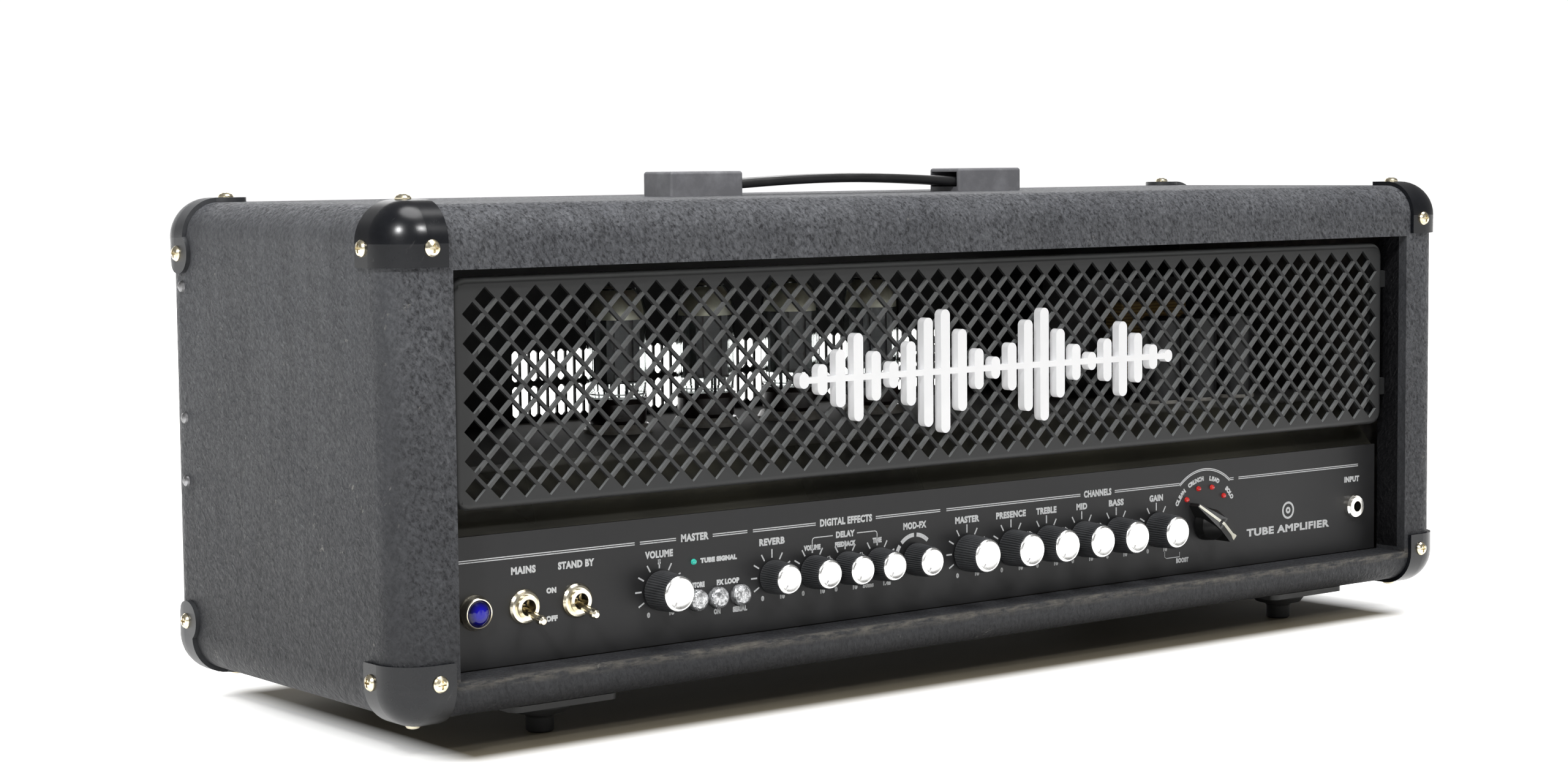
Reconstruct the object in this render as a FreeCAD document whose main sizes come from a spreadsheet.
import FreeCAD, Part
import math
import os
import re

import Sketcher
from FreeCAD import Placement, Rotation, Vector

# A guitar amplifier head: a covered plywood cabinet with a tube chassis inside.
# Frame: +X is the player's right when facing the controls, +Y runs from the front to the back, +Z is up.
# The origin is under the middle of the whole, on the surface that the rubber feet stand on. The corner
# screws stand out of the front only, so the cabinet's front is a little nearer the origin than its rear.

SIZES = {
    # cabinet, measured over its covering
    "cabinet_width": 740,
    "cabinet_depth": 235,
    "front_from_origin": 116.3,
    "cabinet_height": 243,
    "edge_radius": 18,
    "covering": 1,
    "board": 17,
    "opening_half_width": 337.5,
    "opening_low": 19,
    "opening_high": 212.4,
    "lip_depth": 22,
    # corner protectors
    "corner_thickness": 2.4,
    "corner_reach": 29,
    "leg_from_rear": 21,
    "leg_from_top": 26,
    "leg_lobe": 10.5,
    "corner_screw_inset": 20,
    # screws
    "screw_head_radius": 4,
    "screw_head_height": 2.4,
    "screw_shank_radius": 1.75,
    "screw_length": 13,
    "screw_slot": 1.1,
    "side_screw_radius": 3,
    # feet
    "foot_height": 19,
    "foot_plate_thickness": 3,
    "foot_plate_width": 62,
    "foot_plate_length": 50,
    "foot_plate_corner": 5,
    "foot_radius": 15.5,
    "foot_stub_radius": 7,
    "foot_from_middle": 268,
    "foot_inset": 40,
    "foot_screw_spread": 25.5,
    # carrying handle
    "handle_half_length": 128,
    "handle_from_front": 131,
    "cap_length": 49,
    "cap_width": 26.4,
    "cap_height": 13.3,
    "cap_wall": 2,
    "cap_floor": 2.6,
    "cap_solid_end": 14,
    "strap_width": 21,
    "strap_thickness": 5.3,
    "strap_low": 3,
    "strap_bow": 3,
    "strap_middle_half": 30,
    "strap_link_end": 84,
    "strap_gap": 0.6,
    "strap_slope": 3.18,
    # grille in front of the tubes
    "grille_half_width": 330.5,
    "grille_low": 97.6,
    "grille_high": 208,
    "grille_front": 12.8,
    "grille_thickness": 2,
    "grille_flange": 13,
    "grille_corner": 8,
    "grille_fold": 3,
    "diamond_pitch_across": 14.2,
    "diamond_pitch_up": 13.95,
    "diamond_bar": 1.8,
    "diamond_first_row": 198,
    "diamond_half_columns": 22,
    "diamond_rows": 7,
    # badge on the grille
    "badge_left": -126,
    "badge_bar_pitch": 12,
    "badge_bar_width": 6.4,
    "badge_spine": 3.2,
    "badge_middle": 149,
    "badge_thickness": 5,
    "badge_stud": 2,
    # chassis and panels
    "panel_recess": 22,
    "panel_thickness": 2,
    "panel_half_width": 335,
    "panel_low": 19.5,
    "panel_high": 84,
    "sheet_metal": 1.5,
    "chassis_width": 668,
    "chassis_slope_depth": 26,
    "deck_height": 114,
    "chassis_rear": 229,
    "vent_panel_half_width": 351,
    "vent_panel_low": 106,
    "vent_panel_high": 224,
    "vent_panel_flange": 26,
    "vent_slot_width": 5,
    "vent_slot_height": 17.5,
    "vent_slot_pitch": 6.2,
    "vent_slot_corner": 1.6,
    "vent_slots": 52,
    "vent_row_low": 117.5,
    "vent_row_high": 137.8,
    # front controls: places from the middle of the panel and above the cabinet's base
    "control_height": 47.2,
    "button_height": 40,
    "pilot_lamp_x": -316,
    "mains_toggle_x": -287.8,
    "standby_toggle_x": -257.2,
    "master_volume_x": -207,
    "store_button_x": -184.3,
    "loop_button_x": -171.2,
    "serial_button_x": -156.9,
    "status_lamp_x": -185.9,
    "status_lamp_height": 59.6,
    "reverb_x": -135.6,
    "delay_volume_x": -108.9,
    "delay_feedback_x": -86.8,
    "delay_time_x": -64.8,
    "modulation_x": -38.6,
    "channel_master_x": -1,
    "presence_x": 31.5,
    "treble_x": 58.3,
    "middle_x": 85.5,
    "bass_x": 112.6,
    "gain_x": 144.9,
    "selector_x": 185.1,
    "input_jack_x": 314,
    "lamp_circle": 21.8,
    "lamp_radius": 1.5,
    "large_knob_radius": 9.4,
    "large_knob_depth": 18.2,
    "small_knob_radius": 8.1,
    "small_knob_depth": 15.8,
    "knob_cap": 4.2,
    "knob_flare": 0.8,
    "knob_gap": 1,
    "knob_recess_radius": 6.6,
    "knob_recess_depth": 3.6,
    "shaft_radius": 3,
    "shaft_clearance": 0.06,
    "shaft_inner_length": 8,
    "bushing_radius": 3.6,
    "bushing_front": 2.4,
    "control_body_radius": 8,
    "control_body_depth": 12,
    "control_nut_radius": 5.6,
    "control_nut_height": 1.8,
    "toggle_nut_radius": 8.6,
    "toggle_bushing_radius": 6,
    "toggle_bushing_front": 4.6,
    "toggle_bore": 4.1,
    "toggle_pivot_depth": 5,
    "toggle_pin_radius": 0.9,
    "toggle_length": 23.5,
    "toggle_tilt": 13,
    "button_radius": 5.5,
    "button_clearance": 0.3,
    "button_front": 2.6,
    "button_dome": 2.2,
    "stem_radius": 2,
    "lens_radius": 6.4,
    "bezel_radius": 8.7,
    "jack_bore": 3.25,
    "jack_nut_radius": 7.3,
    "jack_nut_height": 4,
    "selector_height": 17,
    "selector_skirt": 9.6,
    "selector_tip": 17.6,
    "selector_tail": 11,
    "selector_bar": 8.4,
    # tubes and transformers
    "tube_first_x": -143,
    "tube_pitch": 60.3,
    "tube_from_front": 150,
    "tube_glass_radius": 16.5,
    "tube_glass_wall": 1,
    "tube_glass_height": 62,
    "tube_base_radius": 17,
    "tube_base_height": 14,
    "socket_radius": 19,
    "socket_height": 5,
    "anode_width": 22,
    "anode_depth": 13,
    "anode_height": 38,
    "preamp_first_x": 205,
    "preamp_pitch": 32,
    "preamp_from_front": 78,
    "preamp_can_radius": 11.5,
    "preamp_can_height": 52,
    "core_width": 84,
    "core_depth": 42,
    "core_height": 72,
    "core_leg": 14,
    "mains_transformer_x": 245,
    "mains_transformer_y": 158,
    "output_transformer_x": -288,
    "output_transformer_y": 165,
    # electronics below the deck and connectors at the rear
    "board_half_width": 300,
    "board_near": 70,
    "board_far": 205,
    "board_level": 100,
    "board_thickness": 1.6,
    "capacitor_radius": 15,
    "capacitor_height": 42,
    "inlet_x": 275,
    "inlet_width": 50,
    "inlet_height": 28,
    "inlet_recess_width": 24,
    "inlet_recess_height": 17,
    "inlet_recess_depth": 16,
    "rear_jack_first_x": -250,
    "rear_jack_pitch": 34,
    "rear_jacks": 5,
    "connector_height": 66,
}

# the cabinet's main planes
LEFT = "-cabinet_width / 2"
RIGHT = "cabinet_width / 2"
FRONT = "-front_from_origin"
REAR = "cabinet_depth - front_from_origin"
BASE = "foot_height"
TOP = "foot_height + cabinet_height"
PANEL_FACE = "-front_from_origin + panel_recess"

# directions that a piece's own Z axis is turned to
UP = Rotation()
DOWN = Rotation(Vector(1, 0, 0), 180)
TO_FRONT = Rotation(Vector(0, 0, 1), Vector(0, -1, 0))
TO_REAR = Rotation(Vector(0, 0, 1), Vector(0, 1, 0))
TO_RIGHT = Rotation(Vector(0, 0, 1), Vector(1, 0, 0))
TO_LEFT = Rotation(Vector(0, 0, 1), Vector(-1, 0, 0))

LARGE_KNOBS = {
    "master_volume_knob": "master_volume_x",
    "channel_master_knob": "channel_master_x",
    "presence_knob": "presence_x",
    "treble_knob": "treble_x",
    "middle_knob": "middle_x",
    "bass_knob": "bass_x",
    "gain_knob": "gain_x",
}
SMALL_KNOBS = {
    "reverb_knob": "reverb_x",
    "delay_volume_knob": "delay_volume_x",
    "delay_feedback_knob": "delay_feedback_x",
    "delay_time_knob": "delay_time_x",
    "modulation_knob": "modulation_x",
}
BUTTONS = {
    "store_button": "store_button_x",
    "loop_button": "loop_button_x",
    "serial_button": "serial_button_x",
}
TOGGLES = {
    "mains_toggle": "mains_toggle_x",
    "standby_toggle": "standby_toggle_x",
}
LAMP_ANGLES = (-45, -15, 15, 45)
CORNER_SIGNS = ((-1, 1), (1, 1), (-1, -1), (1, -1))

document = FreeCAD.newDocument("guitar_amp_head")
sheet = document.addObject("Spreadsheet::Sheet", "Sizes")
for row, (alias, number) in enumerate(SIZES.items(), start=1):
    sheet.set(f"A{row}", alias)
    sheet.set(f"B{row}", str(number))
    sheet.setAlias(f"B{row}", alias)
document.recompute()

WORD = re.compile(r"[a-z_]+")
nodes = {}


def bound(expression):
    """The expression with each alias written as a cell of the sheet."""
    return WORD.sub(lambda word: f"Sizes.{word[0]}" if word[0] in SIZES else word[0], expression)


def size(alias):
    """A cell's number, for shapes that are made in code."""
    return float(sheet.get(alias))


front_plane = -size("front_from_origin")
rear_plane = front_plane + size("cabinet_depth")


def bind(item, **properties):
    for name, expression in properties.items():
        item.setExpression(name, bound(expression))
    return item


def place(item, x="0", y="0", z="0", turn=UP):
    item.Placement = Placement(Vector(), turn)
    for axis, expression in zip("xyz", (x, y, z)):
        item.setExpression(f"Placement.Base.{axis}", bound(expression))
    return item


def node(item, label):
    """Names a finished sub-part, which is exported under that name."""
    item.Label = label
    nodes[label] = item
    return item


def box(name, x_range, y_range, z_range):
    """A block between two expressions on each axis."""
    item = document.addObject("Part::Box", name)
    for side, (low, high) in zip(("Length", "Width", "Height"), (x_range, y_range, z_range)):
        bind(item, **{side: f"({high}) - ({low})"})
    return place(item, x_range[0], y_range[0], z_range[0])


def cylinder(name, radius, height, x, y, z, turn=UP):
    item = document.addObject("Part::Cylinder", name)
    bind(item, Radius=radius, Height=height)
    return place(item, x, y, z, turn)


def compound(name, pieces):
    item = document.addObject("Part::Compound", name)
    item.Links = list(pieces)
    return item


def union(name, pieces):
    item = document.addObject("Part::MultiFuse", name)
    item.Shapes = list(pieces)
    item.Refine = True
    return item


def cut(name, base, tool):
    item = document.addObject("Part::Cut", name)
    item.Base = base
    item.Tool = tool
    return item


def common(name, base, tool):
    item = document.addObject("Part::Common", name)
    item.Base = base
    item.Tool = tool
    return item


def mirrored(name, source, normal, point=(0, 0, 0)):
    item = document.addObject("Part::Mirroring", name)
    item.Source = source
    item.Normal = normal
    item.Base = point
    return item


def shaped(name, shape):
    """A sub-part whose shape is made in code from the sheet's sizes."""
    item = document.addObject("Part::Feature", name)
    item.Shape = shape
    item.Placement = Placement()
    return item


def copies(name, master, places):
    """Copies of one master piece, each at a point with its Z axis turned a given way."""
    document.recompute()
    shape = master.Shape.copy()
    shape.Placement = Placement()
    pieces = []
    for point, turn in places:
        piece = shape.copy()
        piece.Placement = Placement(point, turn)
        pieces.append(piece)
    return shaped(name, Part.makeCompound(pieces))


def solid_body(name):
    return document.addObject("PartDesign::Body", name)


def plane_sketch(owner, name, role, offset=None):
    """An empty sketch on one of the body's own origin planes."""
    sketch = owner.newObject("Sketcher::SketchObject", name)
    plane = next(item for item in owner.Origin.OriginFeatures if item.Role == role)
    sketch.AttachmentSupport = [(plane, "")]
    sketch.MapMode = "FlatFace"
    if offset:
        sketch.setExpression("AttachmentOffset.Base.z", bound(offset))
    return sketch


def pin_point(sketch, geometry, position, start, label, x, y):
    """Ties one point of the sketch to its two expressions."""
    for word, expression, axis, guess in (("DistanceX", x, -2, start.x), ("DistanceY", y, -1, start.y)):
        if expression == "0":
            sketch.addConstraint(Sketcher.Constraint("PointOnObject", geometry, position, axis))
            continue
        number = sketch.addConstraint(Sketcher.Constraint(word, -1, 1, geometry, position, guess))
        constraint = f"{label}{word[-1]}"
        sketch.renameConstraint(number, constraint)
        sketch.setExpression(f"Constraints.{constraint}", bound(expression))


def outline(owner, name, role, points, offset=None):
    """A closed straight-sided profile, each corner tied to a pair of expressions."""
    sketch = plane_sketch(owner, name, role, offset)
    count = len(points)
    starts = [
        Vector(10 * math.cos(2 * math.pi * i / count), 10 * math.sin(2 * math.pi * i / count), 0)
        for i in range(count)
    ]
    for i in range(count):
        sketch.addGeometry(Part.LineSegment(starts[i], starts[(i + 1) % count]), False)
    for i in range(count):
        sketch.addConstraint(Sketcher.Constraint("Coincident", i, 2, (i + 1) % count, 1))
    for i, (x, y) in enumerate(points):
        pin_point(sketch, i, 1, starts[i], f"corner{i}", x, y)
    return sketch


def circles(owner, name, role, places):
    """Circles given as (x, y, radius) expressions, for holes."""
    sketch = plane_sketch(owner, name, role)
    for i, (x, y, radius) in enumerate(places):
        start = Vector(20 * i + 1, 5, 0)
        sketch.addGeometry(Part.Circle(start, Vector(0, 0, 1), 1), False)
        pin_point(sketch, i, 3, start, f"hole{i}", x, y)
        number = sketch.addConstraint(Sketcher.Constraint("Radius", i, 1.0))
        sketch.renameConstraint(number, f"radius{i}")
        sketch.setExpression(f"Constraints.radius{i}", bound(radius))
    return sketch


def pad(owner, name, sketch, length):
    item = owner.newObject("PartDesign::Pad", name)
    item.Profile = sketch
    bind(item, Length=length)
    document.recompute()
    return item


def pocket(owner, name, sketch, length, towards_pad=True):
    """A pocket that runs the way that the pad did; it has to take material away."""
    before = owner.Shape.Volume
    item = owner.newObject("PartDesign::Pocket", name)
    item.Profile = sketch
    item.Reversed = towards_pad
    bind(item, Length=length)
    document.recompute()
    if owner.Shape.Volume > before - 1e-6:
        raise RuntimeError(f"{name} cuts nothing")
    return item


def turned(name, points):
    """A body of revolution about its own Z axis, from (radius, height) corners."""
    owner = solid_body(name)
    profile = outline(owner, name + "_profile", "XZ_Plane", points)
    item = owner.newObject("PartDesign::Revolution", name + "_turning")
    item.Profile = profile
    item.ReferenceAxis = (profile, ["V_Axis"])
    item.Angle = 360
    document.recompute()
    return owner


def round_edges(owner, name, radius, chosen):
    """Rounds those edges of the body that the test picks."""
    base = owner.Tip
    edges = [f"Edge{i}" for i, edge in enumerate(base.Shape.Edges, start=1) if chosen(edge)]
    item = owner.newObject("PartDesign::Fillet", name)
    item.Base = (base, edges)
    bind(item, Radius=radius)
    document.recompute()
    return owner


def level_edge(height):
    """Picks the edges that lie in one horizontal plane of the body's own frame."""
    return lambda edge: abs(edge.BoundBox.ZMin - height) < 1e-4 and abs(edge.BoundBox.ZMax - height) < 1e-4


def upright_edge(edge):
    return edge.BoundBox.ZLength > 1e-3 and edge.BoundBox.XLength + edge.BoundBox.YLength < 1e-3


# ---------------------------------------------------------------- cabinet


def rounded_block(name, grow, radius):
    """A block of the cabinet's size, grown on every face, with all its edges rounded."""
    owner = solid_body(name)
    block = owner.newObject("PartDesign::AdditiveBox", name + "_block")
    bind(
        block,
        Length=f"cabinet_width + 2 * ({grow})",
        Width=f"cabinet_depth + 2 * ({grow})",
        Height=f"cabinet_height + 2 * ({grow})",
    )
    document.recompute()
    round_edges(owner, name + "_rounding", radius, lambda edge: True)
    return place(owner, f"{LEFT} - ({grow})", f"{FRONT} - ({grow})", f"{BASE} - ({grow})")


outer_form = rounded_block("outer_form", "0", "edge_radius")
wood_form = rounded_block("wood_form", "-covering", "edge_radius - covering")
corner_form = rounded_block("corner_form", "corner_thickness", "edge_radius + corner_thickness")

INNER_LEFT = f"{LEFT} + covering + board"
INNER_RIGHT = f"{RIGHT} - covering - board"
INNER_LOW = f"{BASE} + covering + board"
INNER_HIGH = f"{TOP} - covering - board"
BACK_OF_LIP = f"{FRONT} + lip_depth"

rear_cavity = box(
    "rear_cavity", (INNER_LEFT, INNER_RIGHT), (BACK_OF_LIP, f"{REAR} + 5"), (INNER_LOW, INNER_HIGH)
)
front_opening = box(
    "front_opening",
    ("-opening_half_width", "opening_half_width"),
    (f"{FRONT} - 5", BACK_OF_LIP),
    (f"{BASE} + opening_low", f"{BASE} + opening_high"),
)
wood_opening = box(
    "wood_opening",
    ("-opening_half_width - covering", "opening_half_width + covering"),
    (f"{FRONT} - 5", BACK_OF_LIP),
    (INNER_LOW, f"{BASE} + opening_high + covering"),
)
wood_hollow = cut("wood_hollow", wood_form, union("wood_space", [rear_cavity, wood_opening]))
outer_hollow = cut("outer_hollow", outer_form, union("covered_space", [rear_cavity, front_opening]))
whole_depth = (f"{FRONT} - 5", f"{REAR} + 5")


def corner_screw_places():
    """Heads on the faces of the front protectors and on the legs of the rear ones."""
    side = size("cabinet_width") / 2
    low = size("foot_height")
    high = low + size("cabinet_height")
    skin = size("corner_thickness")
    inset = size("corner_screw_inset")
    leg_back = rear_plane - size("leg_from_rear")
    leg_down = size("leg_from_top")
    places = []
    for across, up in CORNER_SIGNS:
        sideways = TO_RIGHT if across > 0 else TO_LEFT
        upward = UP if up > 0 else DOWN
        edge = high if up > 0 else low
        outside = across * (side + skin)
        screw_x = across * (side - inset)
        screw_z = edge - up * inset
        face_z = edge + up * skin
        places += [
            (Vector(screw_x, front_plane - skin, screw_z), TO_FRONT),
            (Vector(outside, front_plane + inset + 3, screw_z), sideways),
            (Vector(screw_x, front_plane + inset + 3, face_z), upward),
            (Vector(outside, leg_back, edge - up * leg_down), sideways),
            (Vector(across * (side - leg_down), leg_back, face_z), upward),
        ]
    return places


def side_screw_places():
    """The dark screws near the rear edge of each side, which hold the vent panel and the chassis."""
    side = size("cabinet_width") / 2
    back = rear_plane - size("leg_from_rear")
    heights = (199.9, 131.8, 99.1)
    return [
        (Vector(across * side, back, size("foot_height") + height), TO_RIGHT if across > 0 else TO_LEFT)
        for across in (-1, 1)
        for height in heights
    ]


def foot_centres():
    x = size("foot_from_middle")
    inset = size("foot_inset")
    return [(x * across, y) for across in (-1, 1) for y in (front_plane + inset, rear_plane - inset)]


def wood_screw_places():
    """Two screws up through each foot plate and one down through each handle cap."""
    low = size("foot_height") - size("foot_plate_thickness")
    spread = size("foot_screw_spread")
    places = [
        (Vector(x + side * spread, y, low), DOWN) for x, y in foot_centres() for side in (-1, 1)
    ]
    seat = size("foot_height") + size("cabinet_height") + size("cap_floor") + 2
    handle_y = front_plane + size("handle_from_front")
    end = size("handle_half_length") - size("cap_solid_end") / 2
    return places + [(Vector(across * end, handle_y, seat), UP) for across in (-1, 1)]


screw_master = turned(
    "screw_master",
    [
        ("0", "-screw_length"),
        ("screw_shank_radius", "-screw_length + 2"),
        ("screw_shank_radius", "0"),
        ("screw_head_radius", "0"),
        ("screw_head_radius", "screw_head_height * 0.3"),
        ("screw_head_radius * 0.82", "screw_head_height * 0.72"),
        ("screw_head_radius * 0.45", "screw_head_height * 0.96"),
        ("0", "screw_head_height"),
    ],
)
for number, (long_side, short_side) in enumerate((("Length", "Width"), ("Width", "Length"))):
    slot = screw_master.newObject("PartDesign::SubtractiveBox", f"screw_slot_{number}")
    bind(slot, **{long_side: "screw_head_radius * 1.1", short_side: "screw_slot", "Height": "2"})
    document.recompute()
    half_long = "-screw_head_radius * 0.55"
    half_short = "-screw_slot / 2"
    slot_x, slot_y = (half_long, half_short) if long_side == "Length" else (half_short, half_long)
    place(slot, slot_x, slot_y, "screw_head_height * 0.35")
    document.recompute()

corner_screws = copies("corner_screw_set", screw_master, corner_screw_places())
node(corner_screws, "corner_screws")
wood_screws = copies("wood_screw_set", screw_master, wood_screw_places())
node(wood_screws, "wood_screws")

side_screw_master = turned(
    "side_screw_master",
    [
        ("0", "-screw_length"),
        ("screw_shank_radius", "-screw_length + 2"),
        ("screw_shank_radius", "0"),
        ("side_screw_radius", "0"),
        ("side_screw_radius * 0.9", "1.1"),
        ("side_screw_radius * 0.5", "1.9"),
        ("0", "2.1"),
    ],
)
side_screws = copies("side_screw_set", side_screw_master, side_screw_places())
node(side_screws, "side_screws")


def drills(name, places):
    """Round bores that the shanks of a set of screws fill."""
    radius = size("screw_shank_radius")
    depth = size("screw_length")
    bores = []
    for point, turn in places:
        bore = Part.makeCylinder(radius, depth, Vector(0, 0, -depth))
        bore.Placement = Placement(point, turn)
        bores.append(bore)
    return shaped(name, Part.makeCompound(bores))


all_drills = drills("all_drills", corner_screw_places() + side_screw_places() + wood_screw_places())
covering_skin = cut("covering_skin", outer_hollow, wood_hollow)
node(cut("covering_cut", covering_skin, all_drills), "vinyl_covering")

drilled_wood = cut("drilled_wood", wood_hollow, all_drills)
boards = {
    "side_board_left": ((LEFT, INNER_LEFT), whole_depth, (BASE, TOP)),
    "side_board_right": ((INNER_RIGHT, RIGHT), whole_depth, (BASE, TOP)),
    "bottom_board": ((INNER_LEFT, INNER_RIGHT), whole_depth, (BASE, INNER_LOW)),
    "top_board": ((INNER_LEFT, INNER_RIGHT), whole_depth, (INNER_HIGH, TOP)),
}
for label, ranges in boards.items():
    node(common(label + "_cut", drilled_wood, box(label + "_space", *ranges)), label)

batten_depth = (f"{FRONT} + covering", BACK_OF_LIP)
OPENING_EDGE = "opening_half_width + covering"
side_batten = box(
    "left_batten", (INNER_LEFT, f"-({OPENING_EDGE})"), batten_depth, (INNER_LOW, INNER_HIGH)
)
top_batten = box(
    "top_batten",
    (f"-({OPENING_EDGE})", OPENING_EDGE),
    batten_depth,
    (f"{BASE} + opening_high + covering", INNER_HIGH),
)
right_batten = mirrored("right_batten", side_batten, (1, 0, 0))
batten_blanks = compound("batten_blanks", [side_batten, right_batten, top_batten])
node(cut("drilled_battens", batten_blanks, all_drills), "front_battens")


# ---------------------------------------------------------------- corner protectors

corner_shell = cut("corner_shell", corner_form, outer_form)
front_region = box(
    "front_region",
    (f"{LEFT} - 5", f"{LEFT} + corner_reach"),
    (f"{FRONT} - 5", f"{FRONT} + corner_reach + 1"),
    (f"{TOP} - corner_reach", f"{TOP} + 5"),
)
LEG_BACK = f"{REAR} - leg_from_rear"
LEG_SIDE = f"{LEFT} + leg_from_top"
LEG_DOWN = f"{TOP} - leg_from_top"
outside_left = f"{LEFT} - 5"
outside_top = f"{TOP} + 5"
leg_run = (f"{LEG_BACK} - 6", f"{REAR} + 5")
rear_skin = (f"{REAR} - 12", f"{REAR} + 5")
rear_region = union(
    "rear_region",
    [
        cylinder("side_lobe", "leg_lobe", "30", outside_left, LEG_BACK, LEG_DOWN, TO_RIGHT),
        cylinder("top_lobe", "leg_lobe", "30", LEG_SIDE, LEG_BACK, f"{TOP} - 25"),
        box("side_leg", (outside_left, f"{LEFT} + 12"), leg_run, (LEG_DOWN, outside_top)),
        box("top_leg", (outside_left, LEG_SIDE), leg_run, (f"{TOP} - 12", outside_top)),
        box("rear_upright", (outside_left, INNER_LEFT), rear_skin, (LEG_DOWN, outside_top)),
        box("rear_level", (outside_left, LEG_SIDE), rear_skin, (INNER_HIGH, outside_top)),
    ],
)


def four_corners(label, region):
    """One protector cut from the shell, then mirrored to the other three corners."""
    document.recompute()
    whole = common(label + "_blank", corner_shell, region)
    first = cut(label + "_first", whole, all_drills)
    right = mirrored(label + "_right", first, (1, 0, 0))
    middle = size("foot_height") + size("cabinet_height") / 2
    low_left = mirrored(label + "_low_left", first, (0, 0, 1), (0, 0, middle))
    low_right = mirrored(label + "_low_right", right, (0, 0, 1), (0, 0, middle))
    return node(compound(label + "_set", [first, right, low_left, low_right]), label)


four_corners("front_corner_protectors", front_region)
four_corners("rear_corner_protectors", rear_region)


# ---------------------------------------------------------------- feet

plate_body = solid_body("foot_plate_master")
plate_block = plate_body.newObject("PartDesign::AdditiveBox", "foot_plate_block")
bind(
    plate_block,
    Length="foot_plate_width",
    Width="foot_plate_length",
    Height="foot_plate_thickness",
)
document.recompute()
place(plate_block, "-foot_plate_width / 2", "-foot_plate_length / 2", "-foot_plate_thickness")
document.recompute()
round_edges(plate_body, "foot_plate_rounding", "foot_plate_corner", upright_edge)
plate_holes = circles(
    plate_body,
    "foot_plate_holes",
    "XY_Plane",
    [("foot_screw_spread", "0", "screw_shank_radius"), ("-foot_screw_spread", "0", "screw_shank_radius")],
)
pocket(plate_body, "foot_plate_bores", plate_holes, "foot_plate_thickness + 1", False)

rubber_foot = turned(
    "rubber_foot_master",
    [
        ("0", "-foot_plate_thickness"),
        ("foot_radius", "-foot_plate_thickness"),
        ("foot_radius", "-foot_plate_thickness - 3"),
        ("foot_radius - 2", "-foot_plate_thickness - 5.6"),
        ("foot_stub_radius + 1", "-foot_plate_thickness - 7"),
        ("foot_stub_radius", "-foot_plate_thickness - 8.4"),
        ("foot_stub_radius", "-foot_height + 1"),
        ("foot_stub_radius - 1", "-foot_height"),
        ("3", "-foot_height"),
        ("3", "-foot_height + 3"),
        ("0", "-foot_height + 3"),
    ],
)
foot_places = [(Vector(x, y, size("foot_height")), UP) for x, y in foot_centres()]
node(copies("foot_plate_set", plate_body, foot_places), "foot_plates")
node(copies("rubber_foot_set", rubber_foot, foot_places), "rubber_feet")


# ---------------------------------------------------------------- carrying handle

HANDLE_Y = f"{FRONT} + handle_from_front"
CAP_MOUTH = "handle_half_length - cap_length"


def handle_cap(side):
    """A moulded cap with a pocket for the strap's end and a bore for its screw."""
    name = "handle_cap_" + ("left" if side < 0 else "right")
    owner = solid_body(name + "_body")
    block = owner.newObject("PartDesign::AdditiveBox", name + "_block")
    bind(block, Length="cap_length", Width="cap_width", Height="cap_height")
    document.recompute()
    high = size("cap_height")
    chosen = level_edge(high)
    round_edges(owner, name + "_rounding", "cap_wall * 0.8", lambda edge: chosen(edge) or upright_edge(edge))
    start = CAP_MOUTH if side > 0 else "-handle_half_length"
    place(owner, start, f"{HANDLE_Y} - cap_width / 2", TOP)
    pocket_end = "handle_half_length - cap_solid_end"
    pocket_x = (f"{CAP_MOUTH} - 3", pocket_end) if side > 0 else (f"-({pocket_end})", f"-({CAP_MOUTH}) + 3")
    hollow = box(
        name + "_pocket",
        pocket_x,
        (f"{HANDLE_Y} - cap_width / 2 + cap_wall", f"{HANDLE_Y} + cap_width / 2 - cap_wall"),
        (f"{TOP} + cap_floor", f"{TOP} + cap_height - cap_wall"),
    )
    screw_x = f"{'' if side > 0 else '-'}(handle_half_length - cap_solid_end / 2)"
    seat = cylinder(
        name + "_seat", "screw_head_radius + 0.5", "cap_height", screw_x, HANDLE_Y,
        f"{TOP} + cap_floor + 2",
    )
    drilled = cut(name + "_drilled", owner, all_drills)
    node(cut(name + "_cut", drilled, union(name + "_spaces", [hollow, seat])), name)


handle_cap(-1)
handle_cap(1)

STRAP_LEVEL = f"{TOP} + strap_low + strap_thickness / 2"
strap_middle = solid_body("strap_middle_body")
middle_block = strap_middle.newObject("PartDesign::AdditiveBox", "strap_middle_block")
bind(
    middle_block,
    Length="2 * strap_middle_half - strap_gap",
    Width="strap_width",
    Height="strap_thickness",
)
document.recompute()
round_edges(
    strap_middle, "strap_middle_rounding", "strap_thickness * 0.35",
    lambda edge: edge.BoundBox.XLength > 1 and edge.BoundBox.YLength < 1e-3,
)
place(
    strap_middle,
    "-strap_middle_half + strap_gap / 2",
    f"{HANDLE_Y} - strap_width / 2",
    f"{TOP} + strap_low + strap_bow",
)
node(strap_middle, "strap_middle")


def strap_link(side):
    """The sloping part of the strap between its raised middle and a cap."""
    name = "strap_link_" + ("left" if side < 0 else "right")
    owner = solid_body(name + "_body")
    block = owner.newObject("PartDesign::AdditiveBox", name + "_block")
    bind(
        block,
        Length="strap_link_end - strap_middle_half - strap_gap",
        Width="strap_width",
        Height="strap_thickness",
    )
    document.recompute()
    shift = "strap_gap" if side > 0 else "-(strap_link_end - strap_middle_half)"
    place(block, shift, "-strap_width / 2", "-strap_thickness / 2")
    document.recompute()
    round_edges(
        owner, name + "_rounding", "strap_thickness * 0.35",
        lambda edge: edge.BoundBox.XLength > 1 and edge.BoundBox.YLength < 1e-3,
    )
    slope = Rotation(Vector(0, 1, 0), side * size("strap_slope"))
    pivot_x = "strap_middle_half" if side > 0 else "-strap_middle_half"
    place(owner, pivot_x, HANDLE_Y, f"{STRAP_LEVEL} + strap_bow", slope)
    node(owner, name)


strap_link(-1)
strap_link(1)

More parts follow.
